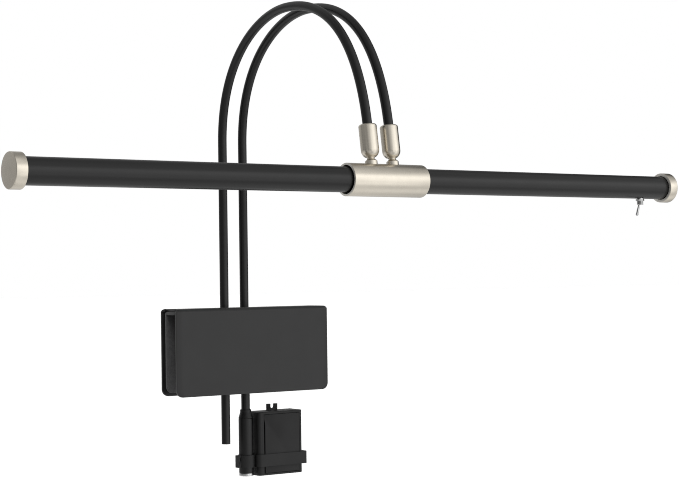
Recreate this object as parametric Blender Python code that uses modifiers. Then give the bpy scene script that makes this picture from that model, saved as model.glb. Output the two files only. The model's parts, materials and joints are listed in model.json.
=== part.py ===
"""A picture light that clips over the top edge of an upright panel.

Two bent arms rise behind the panel, arch over it and carry a slim lamp tube in
front of it. Lengths are in metres, +X is along the lamp tube, +Y points away
from the viewer, behind the panel, and +Z is up. The origin is the middle of
the clip's seat, the face that rests on the panel's top edge.
"""

import math

import bmesh
import bpy
from mathutils import Vector

# ---------------------------------------------------------------- dimensions

GAP = 0.0003                  # between pieces that touch

# Clip: one bent sheet, lined with pads
CLIP_WIDTH = 0.148
CLIP_DEPTH = 0.0253
CLIP_HEIGHT = 0.0713
SHEET = 0.002
PAD = 0.002
SEAT_PAD = 0.0027
PAD_MARGIN = 0.0026           # from a pad's edge to the sheet's edge
BEND_RADIUS = 0.003
CLIP_TOP_CORNER = 0.0025
CLIP_BOTTOM_CORNER = 0.0058

# Lamp tube
HEAD_Y = -0.1948
HEAD_Z = 0.1005
LAMP_LENGTH = 0.6004
TUBE_RADIUS = 0.0095
TUBE_WALL = 0.0012
LIGHT_ANGLE = math.radians(45)        # the opening's middle, from straight down towards +Y
OPENING_HALF = math.radians(18)
FLANGE_HALF = math.radians(24)
CAP_RADIUS = 0.0123
CAP_LENGTH = 0.00825
CAP_FACE = 0.00225

# Centre sleeve and swivels. Swivel heights run from the tube's axis along the swivel's own axis.
SLEEVE_RADIUS = 0.0123
SLEEVE_WALL = 0.0016
SLEEVE_LENGTH = 0.0694
BUSH_LENGTH = 0.012
BUSH_INSET = 0.0025
SWIVEL_TILT = math.radians(8.5)
ARM_SPACING = 0.0198
SOCKET_RADIUS = 0.00685
SOCKET_MOUTH = 0.0176
SOCKET_TOP = 0.0422
MOUTH_RADIUS = 0.00435
BALL_RADIUS = 0.0045
BALL_HEIGHT = 0.0202
STEM_RADIUS = 0.00265
COLLAR_RADIUS = 0.00465
COLLAR_SHOULDER = 0.0144
COLLAR_TOP = 0.0162
ARM_END = 0.0300

# Arms: a straight rear leg, an arch and a short straight end in the swivel socket
ARM_RADIUS = 0.00365
ARM_WALL = 0.0010
LEG_Y = 0.0179
ARCH_START_Z = 0.1432
ARCH_TOP_Y = -0.0818
ARCH_TOP_Z = 0.2446
ARCH_REACH_START = 0.0703     # handle lengths of the arch's curve
ARCH_REACH_BACK = 0.0432
ARCH_REACH_FRONT = 0.0980
ARCH_REACH_END = 0.0146
LEFT_FOOT_Z = -0.1099
RIGHT_FOOT_Z = -0.0935

# Saddle that clamps both arms to the back of the clip
SADDLE_WIDTH = 0.046
SADDLE_TOP = -0.012
SADDLE_BOTTOM = -0.052
SADDLE_BACK = 0.0245
SADDLE_SCREW_X = 0.0185
SADDLE_SCREW_Z = (-0.019, -0.045)
SCREW_RADIUS = 0.0015

# Jack barrel at the foot of the right arm
JACK_RADIUS = 0.0061
GLAND_RADIUS = 0.0047
GLAND_TOP = -0.0819
GLAND_SHOULDER = -0.0842
GLAND_FULL = -0.0888
GLAND_BOTTOM = -0.0892
JACK_BOTTOM = -0.1353
RING_BOTTOM = -0.1380
PLUG_BORE = 0.00275
PIN_RADIUS = 0.00105

# Power case strapped to the jack barrel
CASE_LEFT = 0.0172
CASE_RIGHT = 0.0622
CASE_FRONT = 0.0094
CASE_BACK = 0.0288
CASE_TOP = -0.0845
CASE_BOTTOM = -0.1382
CASE_WALL = 0.0016
CASE_CORNER = 0.0030          # the two upright edges at the front
COVER_LEFT = 0.0227
COVER_RIGHT = 0.0590
COVER_TOP = -0.0865
COVER_BOTTOM = -0.1366
COVER_GROOVE = 0.0012         # the open joint along the cover's left edge
COVER_GROOVE_TOP = -0.0905    # where that joint starts to open
COVER_GROOVE_FULL = -0.0950
TAB_WIDTH = 0.0103
TAB_TOP = -0.0789
TAB_FRONT = 0.0220
TAB_BACK = 0.0242
TAB_SLOT = 0.0038
TAB_SLOT_DEPTH = 0.0040
STRAP_TOP = -0.1203
STRAP_BOTTOM = -0.1306
STRAP_THICKNESS = 0.0009
STRAP_SIDE = 0.0046           # its thick right-hand side
STRAP_RING = 0.0009           # its wall round the barrel
STRAP_LUG_LEFT = 0.0006
STRAP_LUG_DEPTH = 0.005

# Toggle switch, hanging from the tube near its right end
TOGGLE_X = 0.2676
TOGGLE_PIVOT = 0.0105         # below the tube's axis
TOGGLE_MOUTH = 0.0145
TOGGLE_TIP = 0.0238
TOGGLE_LEAN = math.radians(17)
BUSHING_RADIUS = 0.00265
NUT_CORNER = 0.0037

MATERIALS = {
    # name: (colour, roughness, metallic)
    "satin_black": ((0.018, 0.018, 0.019), 0.38, 0.0),
    "satin_nickel": ((0.62, 0.57, 0.51), 0.34, 1.0),
    "black_plastic": ((0.020, 0.020, 0.021), 0.48, 0.0),
    "felt": ((0.055, 0.055, 0.057), 0.95, 0.0),
    "bright_chrome": ((0.75, 0.75, 0.76), 0.12, 1.0),
    "screw_steel": ((0.35, 0.35, 0.36), 0.35, 1.0),
    "diffuser_white": ((0.88, 0.88, 0.86), 0.45, 0.0),
    "board_white": ((0.80, 0.80, 0.78), 0.50, 0.0),
    "phosphor": ((0.90, 0.72, 0.22), 0.60, 0.0),
    "board_green": ((0.03, 0.16, 0.07), 0.45, 0.0),
    "seat_plastic": ((0.85, 0.84, 0.80), 0.45, 0.0),
    "lead_grey": ((0.10, 0.10, 0.11), 0.55, 0.0),
    "contact_brass": ((0.75, 0.56, 0.26), 0.30, 1.0),
}

# ------------------------------------------------------------------ the scene

for old in list(bpy.data.objects):
    bpy.data.objects.remove(old, do_unlink=True)


def collection(name):
    made = bpy.data.collections.new(name)
    bpy.context.scene.collection.children.link(made)
    return made


PARTS = collection("picture_light")
CUTTERS = collection("cutters")


def material(name):
    found = bpy.data.materials.get(name)
    if found:
        return found
    colour, roughness, metallic = MATERIALS[name]
    made = bpy.data.materials.new(name)
    made.use_nodes = True
    shader = made.node_tree.nodes["Principled BSDF"]
    shader.inputs["Base Color"].default_value = (*colour, 1.0)
    shader.inputs["Roughness"].default_value = roughness
    shader.inputs["Metallic"].default_value = metallic
    return made


def pivot(name, location, parent=None):
    """An empty on a joint's axis, which the moving pieces hang from."""
    made = bpy.data.objects.new(name, None)
    made.empty_display_size = 0.01
    PARTS.objects.link(made)
    place(made, location, (0, 0, 0), parent)
    return made


def place(made, location, rotation, parent):
    """Set a world location; a parent is an empty that isn't turned."""
    made.location = Vector(location)
    made.rotation_euler = rotation
    if parent:
        made.parent = parent
        made.location -= world_location(parent)


def world_location(empty):
    total = Vector(empty.location)
    while empty.parent:
        empty = empty.parent
        total += empty.location
    return total


def add(name, data, looks, location=(0, 0, 0), rotation=(0, 0, 0), parent=None):
    """A finished part, or a cutter where looks is None."""
    made = bpy.data.objects.new(name, data)
    place(made, location, rotation, parent)
    if looks is None:
        CUTTERS.objects.link(made)
        made.hide_render = True
        made.display_type = "WIRE"
        return made
    PARTS.objects.link(made)
    data.materials.clear()
    data.materials.append(material(looks))
    return made


def smooth(made, angle=math.radians(35)):
    made.data.shade_smooth()
    made.data.set_sharp_from_angle(angle=angle)


# ----------------------------------------------------------- modelling helpers

UPRIGHT = (0, 0, 0)
ALONG_X = (0, math.pi / 2, 0)                   # a turned piece's axis along +X
ALONG_MINUS_X = (0, -math.pi / 2, 0)
ALONG_Y = (-math.pi / 2, 0, 0)                  # a turned piece's axis along +Y
SECTION_X = (math.pi / 2, 0, math.pi / 2)       # an outline drawn in Y and Z
SECTION_Y = (math.pi / 2, 0, 0)                 # an outline drawn in X and Z
SWIVEL = (-SWIVEL_TILT, 0, 0)


def box(name, low, high, looks, parent=None, location=None, rotation=UPRIGHT):
    """A box between two corners, or one round a location where it is given."""
    middle = (Vector(low) + Vector(high)) / 2
    size = Vector(high) - Vector(low)
    shape = bmesh.new()
    bmesh.ops.create_cube(shape, size=1.0)
    bmesh.ops.scale(shape, vec=size, verts=shape.verts)
    if location is not None:
        bmesh.ops.translate(shape, vec=middle, verts=shape.verts)
    data = bpy.data.meshes.new(name)
    shape.to_mesh(data)
    shape.free()
    return add(name, data, looks, middle if location is None else location, rotation, parent)


def rod(name, radius, start, end, rotation, location, looks=None, sides=24, parent=None):
    """A plain cylinder from start to end along its own axis."""
    shape = bmesh.new()
    bmesh.ops.create_cone(shape, cap_ends=True, segments=sides, radius1=radius,
                          radius2=radius, depth=end - start)
    bmesh.ops.translate(shape, vec=(0, 0, (start + end) / 2), verts=shape.verts)
    data = bpy.data.meshes.new(name)
    shape.to_mesh(data)
    shape.free()
    return add(name, data, looks, location, rotation, parent)


def turned(name, profile, looks, location, rotation, parent=None, steps=32, ring=False):
    """A profile of (radius, height) points swept round the height axis, outer side from the top down."""
    shape = bmesh.new()
    points = [shape.verts.new((radius, 0, height)) for radius, height in profile]
    for first, second in zip(points, points[1:]):
        shape.edges.new((first, second))
    if ring:
        shape.edges.new((points[-1], points[0]))
    data = bpy.data.meshes.new(name)
    shape.to_mesh(data)
    shape.free()
    made = add(name, data, looks, location, rotation, parent)
    sweep = made.modifiers.new("turn", "SCREW")
    sweep.axis = "Z"
    sweep.angle = 2 * math.pi
    sweep.steps = steps
    sweep.render_steps = steps
    sweep.use_merge_vertices = True
    sweep.merge_threshold = 0.00001
    sweep.use_smooth_shade = True
    return made


def arc(centre, radius, start, end, pieces):
    """Points on an arc, angles in radians from the first axis."""
    return [
        (
            centre[0] + radius * math.cos(start + (end - start) * i / pieces),
            centre[1] + radius * math.sin(start + (end - start) * i / pieces),
        )
        for i in range(pieces + 1)
    ]


def rounded(corners, pieces=5):
    """A closed outline from (x, y, corner radius) points, each corner an arc."""
    outline = []
    for i, (x, y, radius) in enumerate(corners):
        here = Vector((x, y))
        if radius == 0:
            outline.append((x, y))
            continue
        before = (Vector(corners[i - 1][:2]) - here).normalized()
        after = (Vector(corners[(i + 1) % len(corners)][:2]) - here).normalized()
        half = before.angle(after) / 2
        centre = here + (before + after).normalized() * radius / math.sin(half)
        start = here + before * radius / math.tan(half) - centre
        end = here + after * radius / math.tan(half) - centre
        turn = start.angle_signed(end)
        first = math.atan2(start.y, start.x)
        outline += arc(centre, radius, first, first - turn, pieces)
    return outline


def to_mesh(made, looks):
    """Swap a curve for the mesh it evaluates to, with its caps welded on."""
    graph = bpy.context.evaluated_depsgraph_get()
    data = bpy.data.meshes.new_from_object(made.evaluated_get(graph))
    shape = bmesh.new()
    shape.from_mesh(data)
    bmesh.ops.remove_doubles(shape, verts=shape.verts, dist=0.000001)
    bmesh.ops.recalc_face_normals(shape, faces=shape.faces)
    shape.to_mesh(data)
    shape.free()
    name = made.name
    parent = made.parent
    matrix = made.matrix_world.copy()
    bpy.data.objects.remove(made, do_unlink=True)
    solid = add(name, data, looks)
    solid.parent = parent
    solid.matrix_world = matrix
    return solid


def extruded(name, outlines, depth, looks, location, rotation, parent=None):
    """A flat outline, with any holes, made this thick about its own plane."""
    curve = bpy.data.curves.new(name, "CURVE")
    curve.dimensions = "2D"
    curve.fill_mode = "BOTH"
    curve.extrude = depth / 2
    for outline in outlines:
        line = curve.splines.new("POLY")
        line.points.add(len(outline) - 1)
        for point, (x, y) in zip(line.points, outline):
            point.co = (x, y, 0, 1)
        line.use_cyclic_u = True
    made = add(name, curve, looks, location, rotation, parent)
    bpy.context.view_layer.update()
    return to_mesh(made, looks)


def wire(name, points, radius, looks, parent=None, detail=2):
    """A round wire through the points."""
    curve = bpy.data.curves.new(name, "CURVE")
    curve.dimensions = "3D"
    curve.bevel_depth = radius
    curve.bevel_resolution = detail
    curve.use_fill_caps = True
    line = curve.splines.new("POLY")
    line.points.add(len(points) - 1)
    for point, place_at in zip(line.points, points):
        point.co = (*place_at, 1)
    return add(name, curve, looks, parent=parent, location=world_location(parent) if parent else (0, 0, 0))


def boolean(made, cutter, operation="DIFFERENCE"):
    change = made.modifiers.new(cutter.name, "BOOLEAN")
    change.operation = operation
    change.solver = "EXACT"
    change.object = cutter
    return made


# --------------------------------------------------------------------- joints

LAMP_AXIS = Vector((0, HEAD_Y, HEAD_Z))
SWIVEL_DIRECTION = Vector((0, math.sin(SWIVEL_TILT), math.cos(SWIVEL_TILT)))
SIDES = (("left", -1), ("right", 1))

arms_pivot = pivot("arms_slide", (0, LEG_Y, 0))
head_pivot = pivot("head_tilt_axis", LAMP_AXIS + BALL_HEIGHT * SWIVEL_DIRECTION, arms_pivot)
lamp_pivot = pivot("lamp_roll_axis", LAMP_AXIS, head_pivot)
lever_pivot = pivot("toggle_axis", (TOGGLE_X, HEAD_Y, HEAD_Z - TOGGLE_PIVOT), lamp_pivot)


# ----------------------------------------------------------------------- clip

CLIP_FRONT = -CLIP_DEPTH / 2
CLIP_BACK = CLIP_DEPTH / 2
SEAT_PAD_TOP = SEAT_PAD
SHEET_UNDERSIDE = SEAT_PAD_TOP + GAP
CLIP_TOP = SHEET_UNDERSIDE + SHEET
CLIP_BOTTOM = CLIP_TOP - CLIP_HEIGHT


def clip_front_outline(inset):
    """The clip as seen from the front, shrunk all round by inset."""
    side = CLIP_WIDTH / 2 - inset
    top = CLIP_TOP - inset
    bottom = CLIP_BOTTOM + inset
    low = CLIP_BOTTOM_CORNER - min(inset, 0.001)
    return rounded([
        (-side, bottom, low), (side, bottom, low),
        (side, top, CLIP_TOP_CORNER), (-side, top, CLIP_TOP_CORNER),
    ])


def screw_places():
    return [(x, z) for z in SADDLE_SCREW_Z for x in (-SADDLE_SCREW_X, SADDLE_SCREW_X)]


def screw_holes(made, radius):
    for i, (x, z) in enumerate(screw_places(), 1):
        hole = rod(f"{made.name}_hole_{i}", radius, 0, 0.04, ALONG_Y, (x, 0, z), sides=16)
        boolean(made, hole)


def make_clip():
    inner = BEND_RADIUS - SHEET
    section = rounded([
        (CLIP_FRONT, CLIP_BOTTOM, 0), (CLIP_FRONT + SHEET, CLIP_BOTTOM, 0),
        (CLIP_FRONT + SHEET, SHEET_UNDERSIDE, inner), (CLIP_BACK - SHEET, SHEET_UNDERSIDE, inner),
        (CLIP_BACK - SHEET, CLIP_BOTTOM, 0), (CLIP_BACK, CLIP_BOTTOM, 0),
        (CLIP_BACK, CLIP_TOP, BEND_RADIUS), (CLIP_FRONT, CLIP_TOP, BEND_RADIUS),
    ])
    clip = extruded("clip_body", [section], CLIP_WIDTH, "satin_black", (0, 0, 0), SECTION_X)
    outline = extruded("clip_outline", [clip_front_outline(0)], 2 * CLIP_DEPTH, None, (0, 0, 0), SECTION_Y)
    boolean(clip, outline, "INTERSECT")
    screw_holes(clip, SCREW_RADIUS + GAP / 2)


def make_pads():
    seat_half = CLIP_DEPTH / 2 - SHEET - GAP - PAD - GAP
    pad_top = SEAT_PAD_TOP - GAP
    side = CLIP_WIDTH / 2 - PAD_MARGIN
    low = CLIP_BOTTOM + PAD_MARGIN
    corner = CLIP_BOTTOM_CORNER - 0.0005
    outline = rounded([
        (-side, low, corner), (side, low, corner),
        (side, pad_top, 0.0012), (-side, pad_top, 0.0012),
    ])
    middle = CLIP_DEPTH / 2 - SHEET - GAP - PAD / 2
    extruded("front_pad", [outline], PAD, "felt", (0, -middle, 0), SECTION_Y)
    extruded("rear_pad", [outline], PAD, "felt", (0, middle, 0), SECTION_Y)
    box("seat_pad", (-side, -seat_half, 0), (side, seat_half, SEAT_PAD_TOP), "felt")


# --------------------------------------------------------------------- saddle

def saddle_half(name, front, back, looks):
    half = box(name, (-SADDLE_WIDTH / 2, front, SADDLE_BOTTOM), (SADDLE_WIDTH / 2, back, SADDLE_TOP), looks)
    bevel = half.modifiers.new("edges", "BEVEL")
    bevel.width = 0.0006
    bevel.segments = 1
    for side, sign in SIDES:
        groove = rod(f"{name}_groove_{side}", ARM_RADIUS + GAP, 2 * SADDLE_BOTTOM, 0.02, UPRIGHT,
                     (sign * ARM_SPACING / 2, LEG_Y, 0), sides=24)
        boolean(half, groove)
    screw_holes(half, SCREW_RADIUS + GAP)
    return half


def make_saddle():
    saddle_half("saddle_base", CLIP_BACK + GAP, LEG_Y - GAP / 2, "satin_black")
    saddle_half("saddle_cap", LEG_Y + GAP / 2, SADDLE_BACK, "satin_black")
    head = SADDLE_BACK + GAP
    tip = CLIP_BACK - SHEET
    for i, (x, z) in enumerate(screw_places(), 1):
        profile = [
            (0, head + 0.0019), (0.0019, head + 0.0018), (0.0027, head + 0.0009), (0.0027, head),
            (SCREW_RADIUS, head), (SCREW_RADIUS, tip), (0, tip),
        ]
        turned(f"saddle_screw_{i}", profile, "screw_steel", (x, 0, z), ALONG_Y, steps=16)


# ----------------------------------------------------------------------- arms

def arm_curve(name, x, foot, radius, detail, caps, end_height, looks, start_z=None):
    """The arm's own route at this x, from its foot to a height along the swivel's axis."""
    curve = bpy.data.curves.new(name, "CURVE")
    curve.dimensions = "3D"
    curve.bevel_depth = radius
    curve.bevel_resolution = detail
    curve.resolution_u = 12
    curve.use_fill_caps = caps
    end = LAMP_AXIS + end_height * SWIVEL_DIRECTION
    end_handle = end + (ARCH_REACH_END + ARM_END - end_height) * SWIVEL_DIRECTION
    end = Vector((x, end.y, end.z))
    end_handle = Vector((x, end_handle.y, end_handle.z))
    foot_point = Vector((x, LEG_Y, foot))
    start = Vector((x, LEG_Y, ARCH_START_Z))
    top = Vector((x, ARCH_TOP_Y, ARCH_TOP_Z))
    leg_third = (start - foot_point) / 3
    up = Vector((0, 0, ARCH_REACH_START))
    back = Vector((0, ARCH_REACH_BACK, 0))
    forward = Vector((0, -ARCH_REACH_FRONT, 0))
    knots = [
        (foot_point, foot_point - leg_third, foot_point + leg_third),
        (start, start - leg_third, start + up),
        (top, top + back, top + forward),
        (end, end_handle, end - end_handle + end),
    ]
    line = curve.splines.new("BEZIER")
    line.bezier_points.add(len(knots) - 1)
    for knot, (point, left, right) in zip(line.bezier_points, knots):
        knot.handle_left_type = "FREE"
        knot.handle_right_type = "FREE"
        knot.co = point
        knot.handle_left = left
        knot.handle_right = right
    made = add(name, curve, looks, location=world_location(arms_pivot), parent=arms_pivot)
    made.location = -world_location(arms_pivot)
    bpy.context.view_layer.update()
    return made


def make_arms():
    for (side, sign), foot in zip(SIDES, (LEFT_FOOT_Z, RIGHT_FOOT_Z)):
        x = sign * ARM_SPACING / 2
        arm = arm_curve(f"arm_{side}", x, foot, ARM_RADIUS, 4, False, ARM_END, "satin_black")
        arm = to_mesh(arm, "satin_black")
        wall = arm.modifiers.new("wall", "SOLIDIFY")
        wall.thickness = ARM_WALL
        wall.offset = -1
        wall.use_even_offset = True
        smooth(arm)
    x = ARM_SPACING / 2
    arm_curve("arm_lead", x, RIGHT_FOOT_Z + 0.004, 0.0012, 2, True, ARM_END + 0.001, "lead_grey")
    plug = [
        (0, LEFT_FOOT_Z + 0.006), (0.0020, LEFT_FOOT_Z + 0.006), (0.0022, LEFT_FOOT_Z + 0.005),
        (0.0022, LEFT_FOOT_Z + 0.0003), (0, LEFT_FOOT_Z + 0.0003),
    ]
    turned("arm_plug", plug, "black_plastic", (-x, LEG_Y, 0), UPRIGHT, arms_pivot, steps=16)


# -------------------------------------------------------------------- swivels

CAVITY_RADIUS = BALL_RADIUS + GAP
SOCKET_BORE = 0.0052
BORE_START = BALL_HEIGHT + 0.0022
FERRULE_START = 0.0302


def socket_profile():
    """Bullet-shaped socket: rounded top, round lower end, ball seat inside and a bore above it."""
    dome_height = SOCKET_MOUTH + math.sqrt(SOCKET_RADIUS**2 - MOUTH_RADIUS**2)
    drop = math.asin((dome_height - SOCKET_MOUTH) / SOCKET_RADIUS)
    mouth_drop = math.asin((BALL_HEIGHT - SOCKET_MOUTH) / CAVITY_RADIUS)
    shoulder = 0.0014
    outer = [(ARM_RADIUS + GAP, SOCKET_TOP)]
    outer += arc((SOCKET_RADIUS - shoulder, SOCKET_TOP - shoulder), shoulder, math.pi / 2, 0, 4)
    outer += arc((0, dome_height), SOCKET_RADIUS, 0, -drop, 8)
    inner = arc((0, BALL_HEIGHT), CAVITY_RADIUS, -mouth_drop, 0, 6)
    inner += [(CAVITY_RADIUS, BORE_START), (SOCKET_BORE, BORE_START + 0.0006)]
    inner += [(SOCKET_BORE, SOCKET_TOP - 0.0014), (ARM_RADIUS + GAP, SOCKET_TOP - 0.0014)]
    return outer + inner


def ferrule_profile():
    top = SOCKET_TOP - 0.0014 - GAP
    outer = SOCKET_BORE - GAP
    inner = ARM_RADIUS + GAP
    return [(inner, top), (outer, top), (outer, FERRULE_START), (inner, FERRULE_START)]


def seat_profile():
    """Plastic cup that presses on the top of the ball."""
    bottom = BALL_HEIGHT + 0.0024
    top = BALL_HEIGHT + 0.0062
    outer = SOCKET_BORE - GAP
    cup = CAVITY_RADIUS
    low_angle = math.asin((bottom + 0.0006 - BALL_HEIGHT) / cup)
    high_angle = math.radians(66)
    inner = arc((0, BALL_HEIGHT), cup, high_angle, low_angle, 5)
    inner.reverse()
    return [(0.0017, top), (outer, top), (outer, bottom + 0.0010)] + inner


def stud_profile():
    """Ball, stem and threaded end; a bore carries the lead."""
    bore = 0.0011
    crown = math.acos(bore / BALL_RADIUS)
    neck = math.acos(STEM_RADIUS / BALL_RADIUS)
    ball = arc((0, BALL_HEIGHT), BALL_RADIUS, crown, -neck, 14)
    thread = 0.0019
    foot = TUBE_RADIUS + 0.0006
    return ball + [
        (STEM_RADIUS, COLLAR_TOP + 0.0002), (STEM_RADIUS, COLLAR_TOP + GAP), (thread, COLLAR_TOP + GAP),
        (thread, foot), (bore, foot),
    ]


def collar_profile():
    hole = 0.0019 + GAP
    return [
        (hole, COLLAR_TOP), (STEM_RADIUS, COLLAR_TOP), (COLLAR_RADIUS - 0.0002, COLLAR_SHOULDER + 0.0001),
        (COLLAR_RADIUS, COLLAR_SHOULDER - 0.0003), (COLLAR_RADIUS, SLEEVE_RADIUS - 0.0012),
        (hole, SLEEVE_RADIUS - 0.0012),
    ]


def spring_points(x):
    """Compression spring between the ball's cup and the arm's ferrule."""
    low = BALL_HEIGHT + 0.0062 + 0.0009
    high = FERRULE_START - 0.0008
    turns = 3
    per_turn = 12
    points = []
    for i in range(turns * per_turn + 1):
        angle = 2 * math.pi * i / per_turn
        height = low + (high - low) * i / (turns * per_turn)
        across = Vector((0, math.cos(SWIVEL_TILT), -math.sin(SWIVEL_TILT)))
        centre = LAMP_AXIS + height * SWIVEL_DIRECTION
        point = centre + 0.0040 * math.sin(angle) * across
        points.append((x + 0.0040 * math.cos(angle), point.y, point.z))
    return points


def make_swivels():
    for side, sign in SIDES:
        x = sign * ARM_SPACING / 2
        at = (x, HEAD_Y, HEAD_Z)
        turned(f"socket_{side}", socket_profile(), "satin_nickel", at, SWIVEL, arms_pivot, 32, True)
        turned(f"ferrule_{side}", ferrule_profile(), "contact_brass", at, SWIVEL, arms_pivot, 24, True)
        turned(f"ball_seat_{side}", seat_profile(), "seat_plastic", at, SWIVEL, arms_pivot, 24, True)
        spring = wire(f"socket_spring_{side}", spring_points(x), 0.0004, "screw_steel", arms_pivot, 1)
        spring.location = -world_location(arms_pivot)
        turned(f"ball_stud_{side}", stud_profile(), "satin_nickel", at, SWIVEL, head_pivot, 24, True)
        collar = turned(f"stud_collar_{side}", collar_profile(), "satin_nickel", at, SWIVEL, head_pivot, 32,
                        True)
        saddle = rod(f"collar_saddle_{side}", SLEEVE_RADIUS + GAP, -0.01, 0.01, ALONG_X, at, sides=96)
        boolean(collar, saddle)


# ------------------------------------------------------------------ lamp head

def make_sleeve():
    half = SLEEVE_LENGTH / 2
    edge = 0.0005
    inner = SLEEVE_RADIUS - SLEEVE_WALL
    profile = [
        (inner, half), (SLEEVE_RADIUS - edge, half), (SLEEVE_RADIUS, half - edge),
        (SLEEVE_RADIUS, edge - half), (SLEEVE_RADIUS - edge, -half), (inner, -half),
    ]
    sleeve = turned("centre_sleeve", profile, "satin_nickel", LAMP_AXIS, ALONG_X, head_pivot, 64, True)
    for side, sign in SIDES:
        hole = rod(f"sleeve_hole_{side}", 0.0019 + GAP, 0.005, 0.015, SWIVEL,
                   (sign * ARM_SPACING / 2, HEAD_Y, HEAD_Z), sides=24)
        boolean(sleeve, hole)
        outer = inner - GAP
        bore = TUBE_RADIUS + GAP
        end = half - BUSH_INSET
        start = end - BUSH_LENGTH
        ring = [(bore, end), (outer, end), (outer, start), (bore, start)]
        facing = ALONG_X if sign > 0 else ALONG_MINUS_X
        turned(f"sleeve_bush_{side}", ring, "black_plastic", LAMP_AXIS, facing, head_pivot, 48, True)


TUBE_BORE = TUBE_RADIUS - TUBE_WALL
TUBE_HALF = LAMP_LENGTH / 2 - CAP_FACE - GAP


def section_point(angle, radius):
    """A point of the tube's section, its angle measured from the light opening's middle."""
    whole = LIGHT_ANGLE + angle
    return (radius * math.sin(whole), -radius * math.cos(whole))


def section_offset(across, outward):
    """A point of the section, across the light's direction and outward along it."""
    along = (math.sin(LIGHT_ANGLE), -math.cos(LIGHT_ANGLE))
    side = (math.cos(LIGHT_ANGLE), math.sin(LIGHT_ANGLE))
    return (across * side[0] + outward * along[0], across * side[1] + outward * along[1])


def section_arc(radius, start, end, pieces):
    return [section_point(start + (end - start) * i / pieces, radius) for i in range(pieces + 1)]


RIB_LOW = 0.0016
RIB_HIGH = 0.0026
RIB_TIP = 0.0046


def tube_outline():
    """Round tube, open along its light slot, with two ribs that carry the light board."""
    low = math.acos(RIB_LOW / TUBE_BORE)
    high = math.acos(RIB_HIGH / TUBE_BORE)
    outline = section_arc(TUBE_RADIUS, OPENING_HALF, 2 * math.pi - OPENING_HALF, 54)
    outline += section_arc(TUBE_BORE, -OPENING_HALF, -high, 6)
    outline += [section_offset(-RIB_TIP, RIB_HIGH), section_offset(-RIB_TIP, RIB_LOW)]
    outline += section_arc(TUBE_BORE, -low, low - 2 * math.pi, 24)
    outline += [section_offset(RIB_TIP, RIB_LOW), section_offset(RIB_TIP, RIB_HIGH)]
    outline += section_arc(TUBE_BORE, high, OPENING_HALF, 6)
    return outline


def diffuser_outline():
    """Lens that fills the slot, with a flange each side behind the tube's wall."""
    lip = OPENING_HALF - GAP / TUBE_RADIUS
    outline = section_arc(TUBE_RADIUS - 0.0001, -lip, lip, 8)
    outline += section_arc(TUBE_BORE - GAP, lip, FLANGE_HALF, 2)
    outline += section_arc(0.0070, FLANGE_HALF, -FLANGE_HALF, 10)
    outline += section_arc(TUBE_BORE - GAP, -FLANGE_HALF, -lip, 2)
    return outline


def strip_outline(half_width, low, high):
    return [
        section_offset(-half_width, low), section_offset(half_width, low),
        section_offset(half_width, high), section_offset(-half_width, high),
    ]


def along_lamp(name, outline, start, end, looks):
    """An outline in the tube's section, run along the lamp between two x positions."""
    middle = LAMP_AXIS + Vector(((start + end) / 2, 0, 0))
    return extruded(name, [outline], end - start, looks, middle, SECTION_X, lamp_pivot)


def make_lamp():
    tube = along_lamp("lamp_tube", tube_outline(), -TUBE_HALF, TUBE_HALF, "satin_black")
    switch_hole = rod("switch_hole", BUSHING_RADIUS + GAP, -0.012, -0.006, UPRIGHT,
                      (TOGGLE_X, HEAD_Y, HEAD_Z))
    boolean(tube, switch_hole)
    lead_slot = box("lead_slot", (0.0074, HEAD_Y - 0.0073, HEAD_Z + 0.0061),
                    (0.0124, HEAD_Y + 0.0073, HEAD_Z + 0.012), None)
    boolean(tube, lead_slot)
    rib_relief = rod("rib_relief", TUBE_BORE - GAP, 0.2600, 0.31, ALONG_X, LAMP_AXIS, sides=48)
    boolean(tube, rib_relief)
    smooth(tube)
    lens_half = TUBE_HALF - 0.0005
    smooth(along_lamp("diffuser", diffuser_outline(), -lens_half, lens_half, "diffuser_white"))
    along_lamp("led_board", strip_outline(0.0065, 0.0029, 0.0041), -0.285, 0.255, "board_white")
    along_lamp("led_strip", strip_outline(0.0016, 0.0044, 0.0050), -0.283, 0.253, "phosphor")
    lead_y = HEAD_Y - 0.0022
    lead_z = HEAD_Z + 0.0030
    lead = wire("lamp_lead", [(0.010, lead_y, lead_z), (0.14, lead_y, lead_z), (0.262, lead_y, lead_z)],
                0.0009, "lead_grey", lamp_pivot)
    lead.location = -world_location(lamp_pivot)
    edge = 0.0005
    outer_end = LAMP_LENGTH / 2
    inner_end = outer_end - CAP_LENGTH
    floor = outer_end - CAP_FACE
    bore = TUBE_RADIUS + GAP
    cap = [
        (0, outer_end), (CAP_RADIUS - edge, outer_end), (CAP_RADIUS, outer_end - edge),
        (CAP_RADIUS, inner_end + edge), (CAP_RADIUS - edge, inner_end), (bore, inner_end),
        (bore, floor), (0, floor),
    ]
    for (side, sign), facing in zip(SIDES, (ALONG_MINUS_X, ALONG_X)):
        turned(f"end_cap_{side}", cap, "satin_nickel", LAMP_AXIS, facing, lamp_pivot, 64)


# --------------------------------------------------------------- toggle switch

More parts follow.
